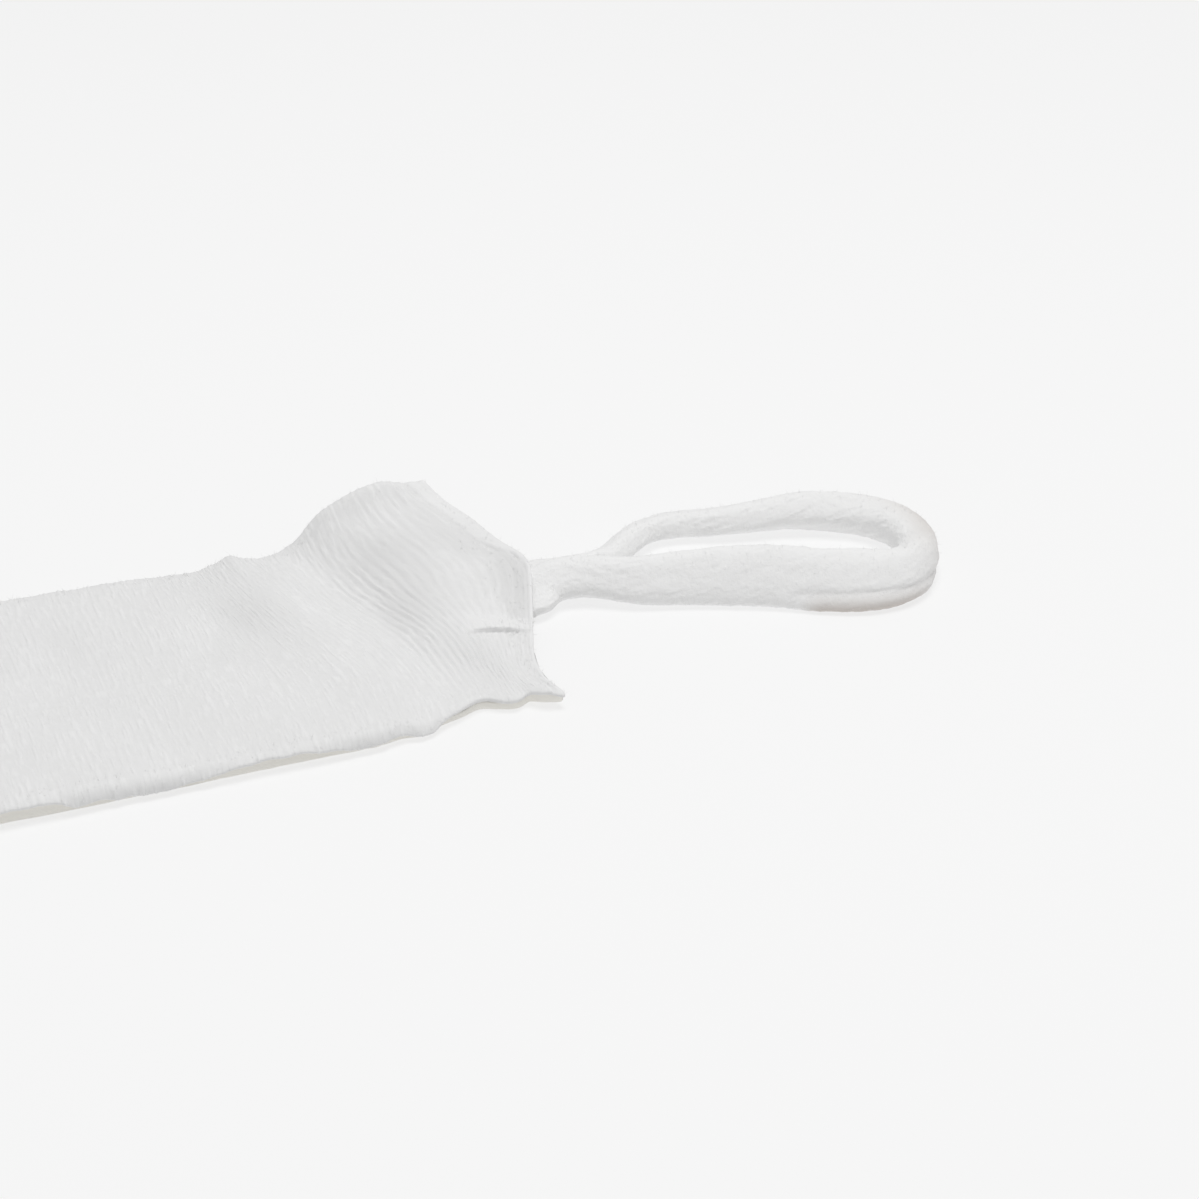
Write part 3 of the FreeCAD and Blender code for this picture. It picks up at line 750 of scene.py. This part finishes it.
def knitMaterial():                       # white cotton: painted shade darkens the grooves, raised yarn lighter, fibres in bump
    m = Shader("ribKnitCotton")
    along, across, relief = m.attribute("along"), m.attribute("across"), m.attribute("relief")
    cloth = m.point(along, across, 0.0)
    fibres = m.noise(m.point(along * 3.0, across * 0.8, 0.0), 1.0, 3.0, 0.6)
    yarn = m.noise(m.point(along * 1.0, across * 0.22, 0.0), 1.0, 3.0, 0.65)
    broad = m.noise(cloth, 0.04, 2.0, 0.5)
    # painted shade: the lower the relief, the darker the tone, as shade in the grooves
    raised = m.node("ShaderNodeMapRange", {}, [relief, -0.28, 0.22, 0.0, 1.0])
    tone = m.mixed(raised, tones["knitGrooveShade"], tones["knitRaised"])
    tone = m.mixed(yarn * 0.45, tone, tones["knitYarn"])
    tone = m.mixed(broad * 0.25, tone, tones["knitBroad"])
    # painted shade on rising slopes, in hollows and by the end
    tone = m.mixed(m.attribute("paintedShade"), tone, tones["knitPaintedShade"])
    height = 0.6 * fibres + 0.4 * m.noise(cloth, 2.3, 2.0, 0.6)
    return m.finish(Base_Color=tone, Roughness=0.92, Sheen_Weight=0.04, Sheen_Roughness=0.5,
                    Normal=m.bumped(height, 0.4, 0.0003))


def liningMaterial():                     # smooth cream weave with a fine diagonal
    m = Shader("creamLining")
    place = m.place()
    weave = m.node("ShaderNodeTexWave", {"bands_direction": "DIAGONAL"},
                   {"Vector": place, "Scale": 420.0, "Distortion": 1.2})
    tone = m.mixed(m.noise(place, 60.0, 3.0, 0.6), tones["liningDark"], tones["liningLight"])
    return m.finish(Base_Color=tone, Roughness=0.62, Sheen_Weight=0.15,
                    Normal=m.bumped(weave, 0.2, 0.0002))


def cordMaterial():                       # loose white roving: painted shade darkens the hollows between yarns, fluff in bump
    m = Shader("brushedCottonCord")
    relief = m.attribute("relief")
    fluff = m.noise(m.place(), 900.0, 3.0, 0.7)
    # painted shade: the lower the relief, the darker the tone, as shade between the yarns
    raised = m.node("ShaderNodeMapRange", {}, [relief, -0.45, 0.45, 0.0, 1.0])
    tone = m.mixed(raised, tones["cordGrooveShade"], tones["cordRaised"])
    tone = m.mixed(fluff * 0.3, tone, tones["cordBrushed"])
    # painted shade from the shade attribute, warm brown at its darkest
    tone = m.mixed(m.attribute("shade"), tone, tones["cordShade"])
    return m.finish(Base_Color=tone, Roughness=0.95, Sheen_Weight=0.15, Sheen_Roughness=0.6,
                    Normal=m.bumped(fluff, 0.5, 0.0005))


def plainMaterial(name, tone, roughness, scale):          # one tone, up to 6 percent darker by fine noise
    m = Shader(name)
    grain = m.noise(m.place(), scale, 3.0, 0.6)
    darker = tuple(0.94 * c for c in tone[:3]) + (1,)
    return m.finish(Base_Color=m.mixed(grain, tone, darker), Roughness=roughness,
                    Normal=m.bumped(grain, 0.15, 0.0002))


knitCotton = knitMaterial()
creamLining = liningMaterial()
brushedCotton = cordMaterial()
looseCotton = plainMaterial("looseCotton", tones["looseFibre"], 0.9, 500.0)
for piece in (coverLeft, coverRight):
    piece.data.materials.append(knitCotton)
for piece in (cordFluff, edgeFluffLeft, edgeFluffRight):
    piece.data.materials.append(looseCotton)
for piece in (coreLeft, coreRight, liningLeft, liningRight):
    piece.data.materials.append(creamLining)
pullCord.data.materials.append(brushedCotton)
milkyPlastic = plainMaterial("milkyPlastic", tones["plastic"], 0.45, 300.0)
wovenTape = plainMaterial("wovenTape", tones["tape"], 0.85, 900.0)
sewingThread = plainMaterial("sewingThread", tones["thread"], 0.8, 1500.0)


def insideFinish(name):                   # what a piece of the frame is made of, by its name
    if name.startswith("cord_tail"):
        return brushedCotton
    if name.startswith("stay"):
        return milkyPlastic
    if name == "anchor_tape":
        return wovenTape
    if "seam" in name or name == "bar_tacks":
        return sewingThread
    return creamLining


for name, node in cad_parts.items():
    node.data.materials.clear()
    node.data.materials.append(insideFinish(name))
print("materials made")


def acrossFold(piece):              # bakes the piece's placement into its mesh
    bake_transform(piece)


for cover, side, word in ((coverLeft, 1, "left"), (coverRight, -1, "right")):
    acrossFold(cover)
    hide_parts("knit_" + word, "hem_" + word)
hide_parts("knit_centre", "hem_centre")
for fibres, side in ((edgeFluffLeft, 1), (edgeFluffRight, -1)):
    acrossFold(fibres)
for padded, side, word in ((coreLeft, 1, "left"), (coreRight, -1, "right")):
    acrossFold(padded)
    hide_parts("pad_" + word, "side_seam_" + word)
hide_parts("pad_centre", "toe_seam")
for under, side, word in ((liningLeft, 1, "left"), (liningRight, -1, "right")):
    acrossFold(under)
    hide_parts("lining_" + word)
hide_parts("lining_centre")
for strand in (pullCord, cordFluff):
    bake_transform(strand)
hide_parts("pull_cord")
tuple(cordPath[0] * mm)
(cordPath * mm).tolist()
print("pieces placed")


# floor, light and camera
look = {
    "azimuth": -20.84,
    "elevation": 30.61,
    "distance": 0.900,
    "aim": (0.18513, -0.00754, 0.006),
    "lens": 86.31,
    "floorSize": 40,
    "floorTone": 0.22,
    "floorGlow": 0.69,
    "roomStrength": 0.48,
    "lampPlace": (0.28, -0.12, 1.5),
    "lampAim": (0.1, 0, 0),
    "lampSize": 0.7,
    "lampPower": 12.4,
}


def makeStudio():                         # a glowing floor, an even room and one large lamp above
    bpy.ops.mesh.primitive_plane_add(size=look["floorSize"], location=(0.1, 0, 0))
    floor = bpy.context.object
    floor.name = "floor"
    m = Shader("paleFloor")
    floor.data.materials.append(m.finish(Base_Color=gray(look["floorTone"]), Roughness=0.9,
                                         Emission_Color=(1, 1, 1, 1), Emission_Strength=look["floorGlow"]))
    world = bpy.data.worlds.new("softRoom")
    bpy.context.scene.world = world
    world.use_nodes = True
    background = world.node_tree.nodes["Background"]
    background.inputs["Color"].default_value = (1, 1, 1, 1)
    background.inputs["Strength"].default_value = look["roomStrength"]
    lamp = bpy.data.lights.new("topLight", "AREA")
    lamp.size = look["lampSize"]
    lamp.energy = look["lampPower"]
    holder = bpy.data.objects.new("topLight", lamp)
    holder.location = look["lampPlace"]
    down = Vector(look["lampAim"]) - Vector(look["lampPlace"])
    holder.rotation_euler = down.to_track_quat("-Z", "Y").to_euler()
    bpy.context.scene.collection.objects.link(holder)


def makeCamera():
    # Stands off from the aim by distance, turned by azimuth round the upright and raised by elevation.
    a, e = math.radians(look["azimuth"]), math.radians(look["elevation"])
    back = Vector((math.sin(a) * math.cos(e), -math.cos(a) * math.cos(e), math.sin(e)))
    data = bpy.data.cameras.new("camera")
    data.lens = look["lens"]
    data.sensor_width = 36
    holder = bpy.data.objects.new("camera", data)
    holder.location = Vector(look["aim"]) + back * look["distance"]
    holder.rotation_mode = "QUATERNION"
    holder.rotation_quaternion = (-back).to_track_quat("-Z", "Y")
    bpy.context.scene.collection.objects.link(holder)
    bpy.context.scene.camera = holder


makeStudio()
makeCamera()
bpy.context.scene.view_settings.view_transform = "Standard"
print("studio made")
